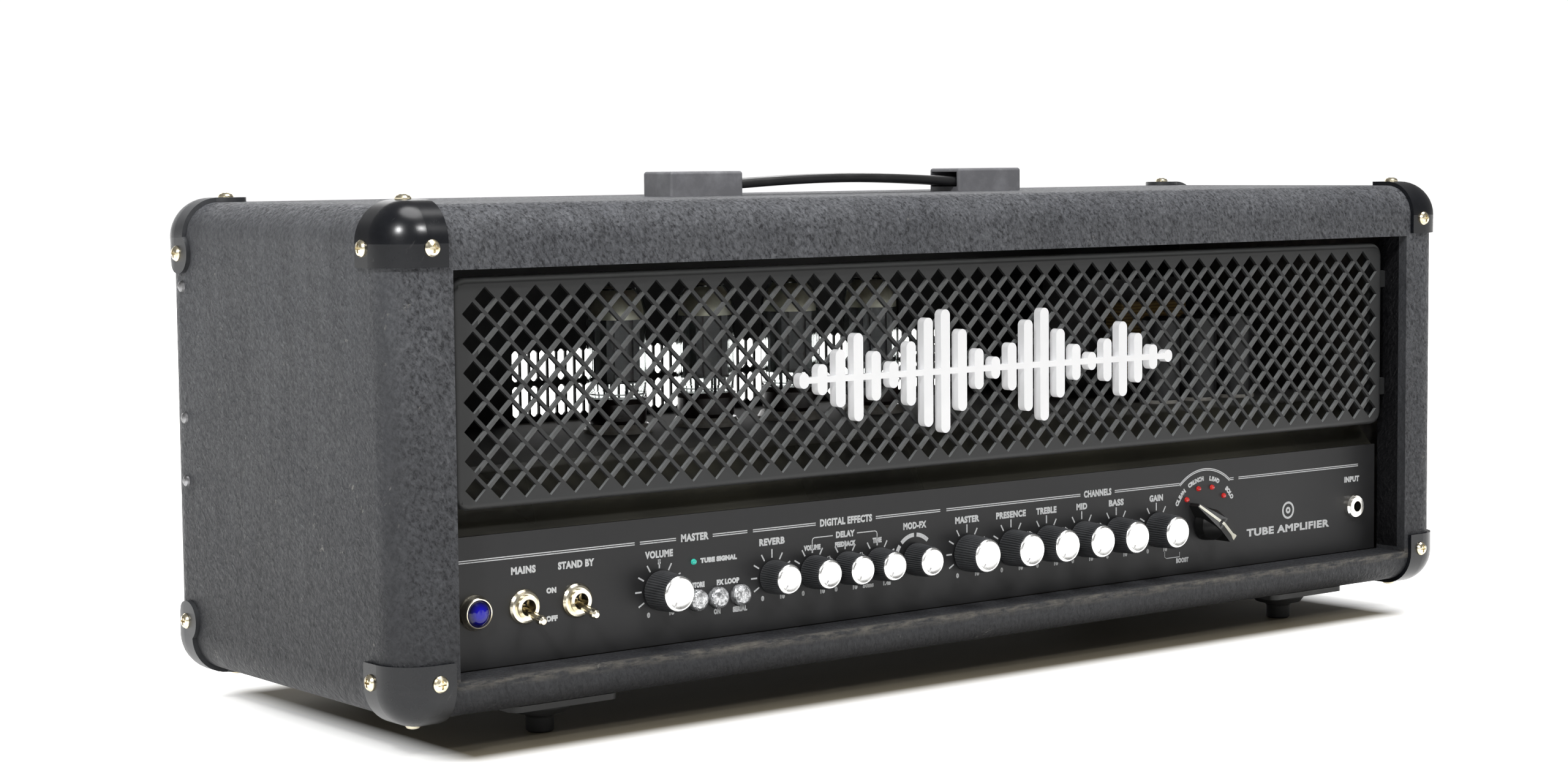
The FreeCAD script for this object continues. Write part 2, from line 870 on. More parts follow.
left_tail = box(
    "left_tail",
    ("-(handle_half_length - cap_solid_end)", "-strap_link_end - strap_gap - 1"),
    (f"{HANDLE_Y} - strap_width / 2", f"{HANDLE_Y} + strap_width / 2"),
    (f"{TOP} + cap_floor", f"{TOP} + cap_floor + strap_thickness"),
)
right_tail = mirrored("right_tail", left_tail, (1, 0, 0))
node(compound("strap_tail_set", [left_tail, right_tail]), "strap_tails")


# ---------------------------------------------------------------- grille and badge


def front_face(points, y):
    """A flat face seen from the front, from (x, z) corners."""
    corners = [Vector(x, y, z) for x, z in points]
    return Part.makePolygon(corners + corners[:1])


def rectangle(half_width, low, high):
    return [(-half_width, low), (half_width, low), (half_width, high), (-half_width, high)]


def diamond_centres():
    """The staggered centres of the grille's holes: even columns, then the columns between them."""
    across = size("diamond_pitch_across")
    down = size("diamond_pitch_up")
    first = size("diamond_first_row") + size("foot_height")
    half = int(size("diamond_half_columns"))
    rows = int(size("diamond_rows"))
    even = [(column * across, first - row * down) for column in range(-half, half + 1) for row in range(rows)]
    odd = [
        ((column + 0.5) * across, first - (row + 0.5) * down)
        for column in range(-half - 1, half + 1)
        for row in range(rows)
    ]
    return even + odd


def grille_shape():
    """A folded tray whose face is perforated with diamonds."""
    half = size("grille_half_width")
    low = size("grille_low") + size("foot_height")
    high = size("grille_high") + size("foot_height")
    front = front_plane + size("grille_front")
    metal = size("grille_thickness")
    fold = size("grille_fold")
    depth = size("grille_flange")

    def rounded_slab(inset, start, end, corner, edge_fold):
        slab = Part.makeBox(
            2 * (half - inset), end - start, high - low - 2 * inset, Vector(-half + inset, start, low + inset)
        )
        long_edges = [e for e in slab.Edges if e.BoundBox.YLength > 1e-3]
        slab = slab.makeFillet(corner, long_edges)
        rim = [e for e in slab.Edges if e.BoundBox.YMax < start + 1e-4]
        return slab.makeFillet(edge_fold, rim)

    tray = rounded_slab(0, front, front + depth, size("grille_corner"), fold)
    inside = rounded_slab(
        metal, front + metal, front + depth + 5, size("grille_corner") - metal, fold - metal
    )
    margin = fold + 0.4
    window = rectangle(half - margin, low + margin, high - margin)
    window_face = Part.Face(front_face(window, front - 1))
    tray = tray.cut(inside).cut(window_face.extrude(Vector(0, metal + 2, 0)))
    across = size("diamond_pitch_across") / 2
    up = size("diamond_pitch_up") / 2
    shrink = 1 - size("diamond_bar") * math.hypot(across, up) / (2 * across * up)
    holes = [
        front_face(
            [
                (x - across * shrink, z),
                (x, z - up * shrink),
                (x + across * shrink, z),
                (x, z + up * shrink),
            ],
            front,
        )
        for x, z in diamond_centres()
    ]
    sheet_face = Part.Face([front_face(window, front)] + holes)
    mesh = sheet_face.extrude(Vector(0, metal, 0))
    grille = tray.fuse(mesh).removeSplitter()
    if len(grille.Solids) != 1:
        raise RuntimeError("the grille's holes reach past its perforated field")
    return grille.Solids[0]


node(shaped("grille_sheet", grille_shape()), "front_grille")

left_brackets = [
    box(
        f"grille_bracket_{level}",
        ("-opening_half_width", "-grille_half_width"),
        (f"{FRONT} + grille_front + grille_fold + 1", f"{FRONT} + grille_front + grille_flange"),
        (f"{BASE} + {level} - 5", f"{BASE} + {level} + 5"),
    )
    for level in (120, 186)
]
right_brackets = [mirrored(item.Name + "_right", item, (1, 0, 0)) for item in left_brackets]
node(compound("grille_bracket_set", left_brackets + right_brackets), "grille_brackets")

BADGE_HEIGHTS = (
    8, 16, 30, 46, 26, 14, 34, 58, 66, 44, 22, 12, 26, 50, 62, 38, 20, 10, 24, 42, 28, 14, 7,
)


def badge_shape():
    """A row of round-ended upright bars of different heights on one thin spine, like a sound wave."""
    pitch = size("badge_bar_pitch")
    width = size("badge_bar_width")
    middle = size("badge_middle") + size("foot_height")
    back = front_plane + size("grille_front") - size("badge_stud")
    thickness = size("badge_thickness")
    front = back - thickness
    left = size("badge_left")
    spine = size("badge_spine")
    length = (len(BADGE_HEIGHTS) - 1) * pitch
    shape = Part.makeBox(length, thickness, spine, Vector(left, front, middle - spine / 2))
    bars = []
    for number, height in enumerate(BADGE_HEIGHTS):
        x = left + number * pitch
        straight = max(height - width, 0.5)
        bars.append(
            Part.makeBox(width, thickness, straight, Vector(x - width / 2, front, middle - straight / 2))
        )
        for end in (-1, 1):
            centre = Vector(x, front, middle + end * straight / 2)
            bars.append(Part.makeCylinder(width / 2, thickness, centre, Vector(0, 1, 0)))
    for number in (2, 8, 14, 20):
        centre = Vector(left + number * pitch, back, middle)
        bars.append(Part.makeCylinder(1.6, size("badge_stud"), centre, Vector(0, 1, 0)))
    return shape.multiFuse(bars).removeSplitter().Solids[0]


node(shaped("badge_casting", badge_shape()), "grille_badge")


# ---------------------------------------------------------------- front controls: where the holes are

KNOBS = {**LARGE_KNOBS, **SMALL_KNOBS, "channel_selector_knob": "selector_x"}
CONTROL_Z = f"{BASE} + control_height"


def lamp_places():
    """The four channel lamps on their arc over the selector, then the status lamp."""
    reach = size("lamp_circle")
    places = []
    for angle in LAMP_ANGLES:
        turn = math.radians(angle)
        places.append((size("selector_x") + reach * math.sin(turn),
                       size("control_height") + reach * math.cos(turn)))
    places.append((size("status_lamp_x"), size("status_lamp_height")))
    return places


def control_holes(origin_z):
    """Holes of the front panel as (x, z, radius) expressions, z counted from origin_z above the base."""
    level = f"control_height - ({origin_z})"
    holes = [(x, level, "bushing_radius") for x in KNOBS.values()]
    holes += [(x, level, "toggle_bushing_radius") for x in TOGGLES.values()]
    holes += [
        (x, f"button_height - ({origin_z})", "button_radius + button_clearance") for x in BUTTONS.values()
    ]
    holes.append(("pilot_lamp_x", level, "lens_radius"))
    holes.append(("input_jack_x", level, "toggle_bushing_radius"))
    for angle in LAMP_ANGLES:
        holes.append(
            (
                f"selector_x + lamp_circle * sin({angle})",
                f"{level} + lamp_circle * cos({angle})",
                "lamp_radius",
            )
        )
    holes.append(("status_lamp_x", f"status_lamp_height - ({origin_z})", "lamp_radius"))
    return holes


panel = solid_body("control_panel_body")
panel_outline = outline(
    panel,
    "control_panel_outline",
    "XZ_Plane",
    [
        ("-panel_half_width", "0"),
        ("panel_half_width", "0"),
        ("panel_half_width", "panel_high - panel_low"),
        ("-panel_half_width", "panel_high - panel_low"),
    ],
)
pad(panel, "control_panel_plate", panel_outline, "panel_thickness")
pocket(
    panel,
    "control_panel_bores",
    circles(panel, "control_panel_holes", "XZ_Plane", control_holes("panel_low")),
    "panel_thickness + 1",
)
place(panel, "0", f"{PANEL_FACE} + panel_thickness", f"{BASE} + panel_low")
node(panel, "control_panel")


# ---------------------------------------------------------------- chassis and rear vent panel

CHASSIS_FRONT = f"{FRONT} + panel_recess + panel_thickness"
DECK = f"{BASE} + deck_height"
front_y = "panel_recess + panel_thickness"
slope_y = f"{front_y} + chassis_slope_depth"
chassis = solid_body("chassis_body")
outer_profile = outline(
    chassis,
    "chassis_outer_profile",
    "YZ_Plane",
    [
        (front_y, "board + covering"),
        (front_y, "panel_high"),
        (slope_y, "deck_height"),
        ("chassis_rear", "deck_height"),
        ("chassis_rear", "board + covering"),
    ],
)
pad(chassis, "chassis_fold", outer_profile, "chassis_width")
inner_profile = outline(
    chassis,
    "chassis_inner_profile",
    "YZ_Plane",
    [
        (f"{front_y} + sheet_metal", "board + covering - 1"),
        (f"{front_y} + sheet_metal", "panel_high - sheet_metal * 0.5"),
        (f"{slope_y} + sheet_metal * 0.5", "deck_height - sheet_metal"),
        ("chassis_rear - sheet_metal", "deck_height - sheet_metal"),
        ("chassis_rear - sheet_metal", "board + covering - 1"),
    ],
    "sheet_metal",
)
pocket(chassis, "chassis_hollow", inner_profile, "chassis_width - 2 * sheet_metal")
place(chassis, "-chassis_width / 2", FRONT, BASE)


def tube_centres():
    return [
        (size("tube_first_x") + i * size("tube_pitch"), front_plane + size("tube_from_front"))
        for i in range(4)
    ]


def preamp_centres():
    return [
        (size("preamp_first_x") + i * size("preamp_pitch"), front_plane + size("preamp_from_front"))
        for i in range(3)
    ]


def rear_jack_centres():
    return [size("rear_jack_first_x") + i * size("rear_jack_pitch") for i in range(int(size("rear_jacks")))]


def chassis_drills():
    """Everything that passes through the chassis walls: controls, tube sockets and rear connectors."""
    base = size("foot_height")
    wall = front_plane + size("panel_recess") + size("panel_thickness") - 1
    depth = size("sheet_metal") + 2
    back_way = Vector(0, 1, 0)

    def through_front(x, height, radius):
        return Part.makeCylinder(radius, depth, Vector(x, wall, base + height), back_way)

    level = size("control_height")
    tools = [through_front(size(x), level, size("bushing_radius")) for x in KNOBS.values()]
    tools += [through_front(size(x), level, size("toggle_bushing_radius")) for x in TOGGLES.values()]
    button = size("button_radius") + size("button_clearance")
    tools += [through_front(size(x), size("button_height"), button) for x in BUTTONS.values()]
    tools.append(through_front(size("pilot_lamp_x"), level, size("lens_radius")))
    tools.append(through_front(size("input_jack_x"), level, size("toggle_bushing_radius")))
    tools += [through_front(x, height, size("lamp_radius")) for x, height in lamp_places()]
    deck = base + size("deck_height") - size("sheet_metal") - 1
    for x, y in tube_centres():
        tools.append(Part.makeCylinder(size("socket_radius") - 4, depth, Vector(x, y, deck)))
    for x, y in preamp_centres():
        tools.append(Part.makeCylinder(size("preamp_can_radius") - 3, depth, Vector(x, y, deck)))
    rear = front_plane + size("chassis_rear") - size("sheet_metal") - 1
    height = base + size("connector_height")
    for x in rear_jack_centres():
        centre = Vector(x, rear, height)
        tools.append(Part.makeCylinder(size("toggle_bushing_radius"), depth, centre, back_way))
    inlet = Part.makeBox(
        size("inlet_recess_width") + 4,
        depth,
        size("inlet_recess_height") + 4,
        Vector(
            size("inlet_x") - size("inlet_recess_width") / 2 - 2,
            rear,
            height - size("inlet_recess_height") / 2 - 2,
        ),
    )
    return Part.makeCompound(tools + [inlet])


node(cut("chassis_cut", chassis, shaped("chassis_drills", chassis_drills())), "chassis")

vent = solid_body("vent_panel_body")
vent_outline = outline(
    vent,
    "vent_panel_outline",
    "XZ_Plane",
    [
        ("-vent_panel_half_width", "vent_panel_low"),
        ("vent_panel_half_width", "vent_panel_low"),
        ("vent_panel_half_width", "vent_panel_high"),
        ("-vent_panel_half_width", "vent_panel_high"),
    ],
)
pad(vent, "vent_panel_plate", vent_outline, "sheet_metal")
first_slot = "-(vent_slots - 1) / 2 * vent_slot_pitch"
for number, low in enumerate(("vent_row_low", "vent_row_high")):
    slot_high = f"{low} + vent_slot_height"
    slot_left = f"{first_slot} - vent_slot_width / 2"
    slot_right = f"{first_slot} + vent_slot_width / 2"
    slot_outline = outline(
        vent,
        f"vent_slot_{number}_outline",
        "XZ_Plane",
        [
            (f"{slot_left} + vent_slot_corner", low),
            (f"{slot_right} - vent_slot_corner", low),
            (slot_right, f"{low} + vent_slot_corner"),
            (slot_right, f"{slot_high} - vent_slot_corner"),
            (f"{slot_right} - vent_slot_corner", slot_high),
            (f"{slot_left} + vent_slot_corner", slot_high),
            (slot_left, f"{slot_high} - vent_slot_corner"),
            (slot_left, f"{low} + vent_slot_corner"),
        ],
    )
    slot = pocket(vent, f"vent_slot_{number}", slot_outline, "sheet_metal + 1")
    row_pattern = vent.newObject("PartDesign::LinearPattern", f"vent_row_{number}")
    row_pattern.Originals = [slot]
    row_pattern.Direction = (slot_outline, ["H_Axis"])
    bind(row_pattern, Length="(vent_slots - 1) * vent_slot_pitch", Occurrences="vent_slots")
    document.recompute()
    vent.Tip = row_pattern
    document.recompute()
place(vent, "0", f"{FRONT} + chassis_rear + sheet_metal", BASE)
left_flange = box(
    "vent_left_flange",
    ("-vent_panel_half_width", "-vent_panel_half_width + sheet_metal"),
    (f"{FRONT} + chassis_rear - vent_panel_flange", f"{FRONT} + chassis_rear + sheet_metal"),
    (f"{DECK} + 0.5", f"{BASE} + vent_panel_high"),
)
right_flange = mirrored("vent_right_flange", left_flange, (1, 0, 0))
node(union("vent_panel_folded", [vent, left_flange, right_flange]), "rear_vent_panel")


# ---------------------------------------------------------------- rotary controls


def shaft(name, x, inner_end, outer_end):
    """The steel spindle that a knob grips, running back into its control."""
    return cylinder(
        name, "shaft_radius", f"({inner_end}) + ({outer_end})", x, f"{PANEL_FACE} + {inner_end}",
        CONTROL_Z, TO_FRONT,
    )


def rotary_knob(label, x, kind):
    """A knurled knob body and its bright cap on a spindle, at the start of its travel."""
    radius = f"{kind}_knob_radius"
    depth = f"{kind}_knob_depth"
    body_end = f"{depth} - knob_cap"
    grip_end = f"{body_end} - 1.5"
    recess_end = "knob_gap + knob_recess_depth"
    grip = turned(
        label + "_grip",
        [
            ("0", grip_end),
            ("shaft_radius", grip_end),
            ("shaft_radius", recess_end),
            ("knob_recess_radius", recess_end),
            ("knob_recess_radius", "knob_gap"),
            (f"{radius} + knob_flare", "knob_gap"),
            (f"{radius} + knob_flare", "knob_gap + 1.2"),
            (radius, body_end),
            ("0", body_end),
        ],
    )
    place(grip, x, PANEL_FACE, CONTROL_Z, TO_FRONT)
    cap = turned(
        label + "_cap",
        [
            ("0", body_end),
            (f"{radius} - 0.1", body_end),
            (f"{radius} - 0.1", f"{depth} - 0.7"),
            (f"{radius} - 0.8", depth),
            ("0", depth),
        ],
    )
    notch = cap.newObject("PartDesign::SubtractiveBox", label + "_notch")
    bind(notch, Length="0.9", Width="2.6", Height="1")
    document.recompute()
    start_angle = -150
    notch.Placement = Placement(Vector(), Rotation(Vector(0, 0, 1), -start_angle))
    reach = size(radius) - 3.2
    half = 0.45
    turn = math.radians(start_angle)
    offset = Vector(reach * math.sin(turn) - half * math.cos(turn),
                    reach * math.cos(turn) + half * math.sin(turn), 0)
    for axis, value in (("x", offset.x), ("y", offset.y)):
        notch.setExpression(f"Placement.Base.{axis}", f"{value:.4f}")
    notch.setExpression("Placement.Base.z", bound(f"{depth} - 0.4"))
    document.recompute()
    place(cap, x, PANEL_FACE, CONTROL_Z, TO_FRONT)
    spindle = shaft(label + "_spindle", x, "shaft_inner_length", grip_end)
    node(compound(label + "_set", [grip, cap, spindle]), label)


for label, x in LARGE_KNOBS.items():
    rotary_knob(label, x, "large")
for label, x in SMALL_KNOBS.items():
    rotary_knob(label, x, "small")

# The selector's pointer is drawn along +Y of its own frame, then turned to the first lamp.
selector_skirt = turned(
    "selector_skirt_body",
    [
        ("0", "12"),
        ("shaft_radius", "12"),
        ("shaft_radius", "knob_gap + knob_recess_depth"),
        ("knob_recess_radius", "knob_gap + knob_recess_depth"),
        ("knob_recess_radius", "knob_gap"),
        ("selector_skirt", "knob_gap"),
        ("selector_skirt - 0.6", "7"),
        ("selector_bar / 2", "selector_height - 0.5"),
        ("0", "selector_height - 0.5"),
    ],
)
pointer = solid_body("selector_pointer_body")
half_bar = "selector_bar / 2"
pointer_outline = outline(
    pointer,
    "selector_pointer_outline",
    "XY_Plane",
    [
        (f"-{half_bar}", "-selector_tail + 2"),
        (f"-{half_bar} + 2", "-selector_tail"),
        (f"{half_bar} - 2", "-selector_tail"),
        (half_bar, "-selector_tail + 2"),
        (half_bar, "2"),
        ("1.1", "selector_tip"),
        ("-1.1", "selector_tip"),
        (f"-{half_bar}", "2"),
    ],
)
pad(pointer, "selector_pointer_bar", pointer_outline, "selector_height")
slope_outline = outline(
    pointer,
    "selector_slope_outline",
    "YZ_Plane",
    [
        ("2", "selector_height + 1"),
        ("selector_tip + 2", "selector_height + 1"),
        ("selector_tip + 2", "selector_height * 0.42"),
        ("selector_tip", "selector_height * 0.42"),
        ("2", "selector_height"),
    ],
    "-selector_bar / 2 - 1",
)
pocket(pointer, "selector_slope", slope_outline, "selector_bar + 2")
first_channel = TO_FRONT * Rotation(Vector(0, 0, 1), -LAMP_ANGLES[0])
for piece in (selector_skirt, pointer):
    place(piece, "selector_x", PANEL_FACE, CONTROL_Z, first_channel)

selector_core = cylinder(
    "selector_core", "selector_skirt", "7", "selector_x", PANEL_FACE, CONTROL_Z, TO_FRONT
)
pointer_outside = cut("selector_pointer_outside", pointer, selector_core)
selector_grip = union("selector_grip", [selector_skirt, pointer_outside])
selector_spindle = shaft("selector_spindle", "selector_x", "shaft_inner_length", "12")
selector_bore = cylinder(
    "selector_bore", "shaft_radius", "12", "selector_x", PANEL_FACE, CONTROL_Z, TO_FRONT
)
selector_turned = cut("selector_bored", selector_grip, selector_bore)
node(compound("selector_set", [selector_turned, selector_spindle]), "channel_selector_knob")


def front_places(names, height, x_of):
    """Points on the panel's face with the Z axis turned to the front."""
    face = front_plane + size("panel_recess")
    level = size("foot_height") + size(height)
    return [(Vector(size(x_of[name]), face, level), TO_FRONT) for name in names]


clear_bore = "shaft_radius + shaft_clearance"
potentiometer = turned(
    "potentiometer_master",
    [
        (clear_bore, "bushing_front"),
        ("bushing_radius", "bushing_front"),
        ("bushing_radius", "-panel_thickness - sheet_metal"),
        ("control_body_radius", "-panel_thickness - sheet_metal"),
        ("control_body_radius", "-panel_thickness - sheet_metal - control_body_depth"),
        ("0", "-panel_thickness - sheet_metal - control_body_depth"),
        ("0", "-shaft_inner_length - 1"),
        (clear_bore, "-shaft_inner_length - 1"),
    ],
)
knob_points = front_places(KNOBS, "control_height", KNOBS)
potentiometers = copies("potentiometer_set", potentiometer, knob_points)

BEHIND_CHASSIS = "-panel_thickness - sheet_metal"
toggle_tube = turned(
    "toggle_bushing_master",
    [
        ("toggle_bore", "toggle_bushing_front"),
        ("toggle_bushing_radius", "toggle_bushing_front"),
        ("toggle_bushing_radius", BEHIND_CHASSIS),
        ("toggle_bore", BEHIND_CHASSIS),
    ],
)
toggle_block = solid_body("toggle_block_master")
toggle_housing = toggle_block.newObject("PartDesign::AdditiveBox", "toggle_housing")
bind(toggle_housing, Length="14", Width="22", Height="24")
document.recompute()
place(toggle_housing, "-7", "-11", f"{BEHIND_CHASSIS} - 24")
toggle_well = toggle_block.newObject("PartDesign::SubtractiveCylinder", "toggle_well")
bind(toggle_well, Radius="6", Height="12")
document.recompute()
place(toggle_well, "0", "0", f"{BEHIND_CHASSIS} - 11")
document.recompute()
toggle_points = front_places(TOGGLES, "control_height", TOGGLES)
toggle_housings = copies("toggle_housing_set", toggle_block, toggle_points)
toggle_tubes = copies("toggle_tube_set", toggle_tube, toggle_points)

STEM_BORE = "stem_radius + shaft_clearance"
button_switch = turned(
    "button_switch_master",
    [
        (STEM_BORE, f"{BEHIND_CHASSIS} - 3"),
        ("5.5", f"{BEHIND_CHASSIS} - 3"),
        ("5.5", f"{BEHIND_CHASSIS} - 13"),
        ("0", f"{BEHIND_CHASSIS} - 13"),
        ("0", f"{BEHIND_CHASSIS} - 10"),
        (STEM_BORE, f"{BEHIND_CHASSIS} - 10"),
    ],
)
button_points = front_places(BUTTONS, "button_height", BUTTONS)
button_switches = copies("button_switch_set", button_switch, button_points)
node(
    compound("control_body_set", [potentiometers, toggle_housings, button_switches]),
    "control_bodies",
)

hex_nut = solid_body("hex_nut_master")
nut_outline = outline(
    hex_nut,
    "hex_nut_outline",
    "XY_Plane",
    [
        (f"control_nut_radius * cos({60 * i})", f"control_nut_radius * sin({60 * i})" if i % 3 else "0")
        for i in range(6)
    ],
)
pad(hex_nut, "hex_nut_blank", nut_outline, "control_nut_height")
nut_bore = circles(hex_nut, "hex_nut_bore_outline", "XY_Plane", [("0", "0", "bushing_radius")])
pocket(hex_nut, "hex_nut_bore", nut_bore, "control_nut_height + 1")
dress_nut = turned(
    "dress_nut_master",
    [
        ("toggle_bushing_radius", "0"),
        ("toggle_nut_radius", "0"),
        ("toggle_nut_radius", "1.2"),
        ("toggle_nut_radius - 0.9", "2.2"),
        ("toggle_bushing_radius + 0.6", "2.6"),
        ("toggle_bushing_radius", "2.6"),
    ],
)
node(
    compound(
        "control_nut_set",
        [
            copies("hex_nut_set", hex_nut, knob_points),
            copies("dress_nut_set", dress_nut, toggle_points),
            toggle_tubes,
        ],
    ),
    "control_nuts",
)


# ---------------------------------------------------------------- toggles, buttons and lamps


def toggle_lever(label, x):
    """A bat-shaped lever on its ball and cross pin, tilted down to the off position."""
    lever = turned(
        label + "_lever",
        [
            ("0", "-5"),
            ("1.1", "-5"),
            ("1.3", "-1.6"),
            ("2.5", "-0.6"),
            ("2.5", "0.6"),
            ("1.4", "1.8"),
            ("1.45", "toggle_length * 0.45"),
            ("2.2", "toggle_length * 0.72"),
            ("2.6", "toggle_length * 0.88"),
            ("2.3", "toggle_length * 0.96"),
            ("1.4", "toggle_length"),
            ("0", "toggle_length"),
        ],
    )
    tilt = Rotation(Vector(1, 0, 0), size("toggle_tilt")) * TO_FRONT
    pivot_y = f"{PANEL_FACE} + toggle_pivot_depth"
    place(lever, x, pivot_y, CONTROL_Z, tilt)
    half_pin = "toggle_bore - 0.3"
    pin = cylinder(
        label + "_pin", "toggle_pin_radius", f"2 * ({half_pin})", f"{x} - ({half_pin})", pivot_y,
        CONTROL_Z, TO_RIGHT,
    )
    node(union(label + "_pinned", [lever, pin]), label)


for label, x in TOGGLES.items():
    toggle_lever(label, x)


def push_button(label, x):
    """A domed translucent cap on a round stem."""
    button = turned(
        label + "_cap",
        [
            ("0", "-11"),
            ("stem_radius", "-11"),
            ("stem_radius", "-3"),
            ("button_radius", "-3"),
            ("button_radius", "button_front"),
            ("button_radius * 0.92", "button_front + button_dome * 0.42"),
            ("button_radius * 0.72", "button_front + button_dome * 0.78"),
            ("button_radius * 0.4", "button_front + button_dome * 0.96"),
            ("0", "button_front + button_dome"),
        ],
    )
    place(button, x, PANEL_FACE, f"{BASE} + button_height", TO_FRONT)
    node(button, label)


for label, x in BUTTONS.items():
    push_button(label, x)

bezel = turned(
    "pilot_bezel",
    [
        ("lens_radius", "0"),
        ("bezel_radius", "0"),
        ("bezel_radius", "0.9"),
        ("bezel_radius - 0.5", "1.6"),
        ("bezel_radius - 1.2", "4.7"),
        ("bezel_radius - 1.6", "5.1"),
        ("lens_radius + 0.3", "5"),
        ("lens_radius", "4.4"),
    ],
)
place(bezel, "pilot_lamp_x", PANEL_FACE, CONTROL_Z, TO_FRONT)
node(bezel, "pilot_lamp_bezel")
lens = turned(
    "pilot_lens",
    [
        ("0", "-9"),
        ("lens_radius", "-9"),
        ("lens_radius", "4"),
        ("lens_radius * 0.9", "4.9"),
        ("lens_radius * 0.66", "5.9"),
        ("lens_radius * 0.34", "6.5"),
        ("0", "6.7"),
    ],
)
place(lens, "pilot_lamp_x", PANEL_FACE, CONTROL_Z, TO_FRONT)
node(lens, "pilot_lamp_lens")

lamp = turned(
    "lamp_master",
    [
        ("0", "-8"),
        ("lamp_radius", "-8"),
        ("lamp_radius", "0.5"),
        ("lamp_radius * 0.8", "1.3"),
        ("lamp_radius * 0.4", "1.8"),
        ("0", "1.9"),
    ],
)
face_y = front_plane + size("panel_recess")
lamp_points = [(Vector(x, face_y, size("foot_height") + height), TO_FRONT) for x, height in lamp_places()]
node(copies("lamp_set", lamp, lamp_points), "indicator_lamps")


# ---------------------------------------------------------------- sockets for plugs

jack_nut = turned(
    "jack_nut_master",
    [
        ("toggle_bushing_radius", "0"),
        ("jack_nut_radius", "0"),
        ("jack_nut_radius", "jack_nut_height - 0.8"),
        ("jack_nut_radius - 0.8", "jack_nut_height"),
        ("toggle_bushing_radius", "jack_nut_height"),
    ],
)
jack_sleeve = turned(
    "jack_sleeve_master",
    [
        ("jack_bore", "jack_nut_height + 0.8"),
        ("toggle_bushing_radius", "jack_nut_height + 0.8"),
        ("toggle_bushing_radius", BEHIND_CHASSIS),
        ("9", BEHIND_CHASSIS),
        ("9", f"{BEHIND_CHASSIS} - 26"),
        ("0", f"{BEHIND_CHASSIS} - 26"),
        ("0", f"{BEHIND_CHASSIS} - 24"),
        ("jack_bore", f"{BEHIND_CHASSIS} - 24"),
    ],
)
input_point = front_places(["input"], "control_height", {"input": "input_jack_x"})
node(
    compound(
        "input_jack_set",
        [copies("input_nut", jack_nut, input_point), copies("input_sleeve", jack_sleeve, input_point)],
    ),
    "input_jack",
)

rear_sleeve = turned(
    "rear_sleeve_master",
    [
        ("jack_bore", "jack_nut_height - 0.5"),
        ("toggle_bushing_radius", "jack_nut_height - 0.5"),
        ("toggle_bushing_radius", "-sheet_metal"),
        ("9", "-sheet_metal"),
        ("9", "-sheet_metal - 26"),
        ("0", "-sheet_metal - 26"),
        ("0", "-sheet_metal - 24"),
        ("jack_bore", "-sheet_metal - 24"),
    ],
)
rear_nut = turned(
    "rear_nut_master",
    [
        ("toggle_bushing_radius", "0"),
        ("jack_nut_radius", "0"),
        ("jack_nut_radius", "jack_nut_height - 1.6"),
        ("toggle_bushing_radius", "jack_nut_height - 1.6"),
    ],
)
rear_face = front_plane + size("chassis_rear")
connector_level = size("foot_height") + size("connector_height")
rear_points = [(Vector(x, rear_face, connector_level), TO_REAR) for x in rear_jack_centres()]
node(
    compound(
        "rear_jack_set",
        [copies("rear_nut_set", rear_nut, rear_points), copies("rear_sleeve_set", rear_sleeve, rear_points)],
    ),
    "rear_jacks",
)

REAR_FACE = f"{FRONT} + chassis_rear"
INLET_Z = f"{BASE} + connector_height"


def around_inlet(half_width, half_height):
    """Ranges across and up, centred on the mains inlet."""
    across = (f"inlet_x - ({half_width})", f"inlet_x + ({half_width})")
    up = (f"{INLET_Z} - ({half_height})", f"{INLET_Z} + ({half_height})")
    return across, up


flange_x, flange_z = around_inlet("inlet_width / 2", "inlet_height / 2")
body_x, body_z = around_inlet("inlet_recess_width / 2 + 2", "inlet_recess_height / 2 + 2")
recess_x, recess_z = around_inlet("inlet_recess_width / 2", "inlet_recess_height / 2")
inlet_flange = box("inlet_flange", flange_x, (REAR_FACE, f"{REAR_FACE} + 2.5"), flange_z)
inlet_body = box("inlet_body", body_x, (f"{REAR_FACE} - 22", REAR_FACE), body_z)
inlet_recess = box(
    "inlet_recess", recess_x, (f"{REAR_FACE} + 2.5 - inlet_recess_depth", f"{REAR_FACE} + 4"), recess_z
)
inlet_shell = cut("inlet_shell", union("inlet_solid", [inlet_flange, inlet_body]), inlet_recess)
inlet_pins = [
    box(
        f"inlet_pin_{number}",
        (f"inlet_x + ({x}) - 2", f"inlet_x + ({x}) + 2"),
        (f"{REAR_FACE} + 2.5 - inlet_recess_depth", f"{REAR_FACE} - 4"),
        (f"{INLET_Z} + ({z}) - 1", f"{INLET_Z} + ({z}) + 1"),
    )
    for number, (x, z) in enumerate(((-7, -2), (0, 3), (7, -2)))
]
node(compound("inlet_set", [inlet_shell] + inlet_pins), "mains_inlet")


# ---------------------------------------------------------------- tubes

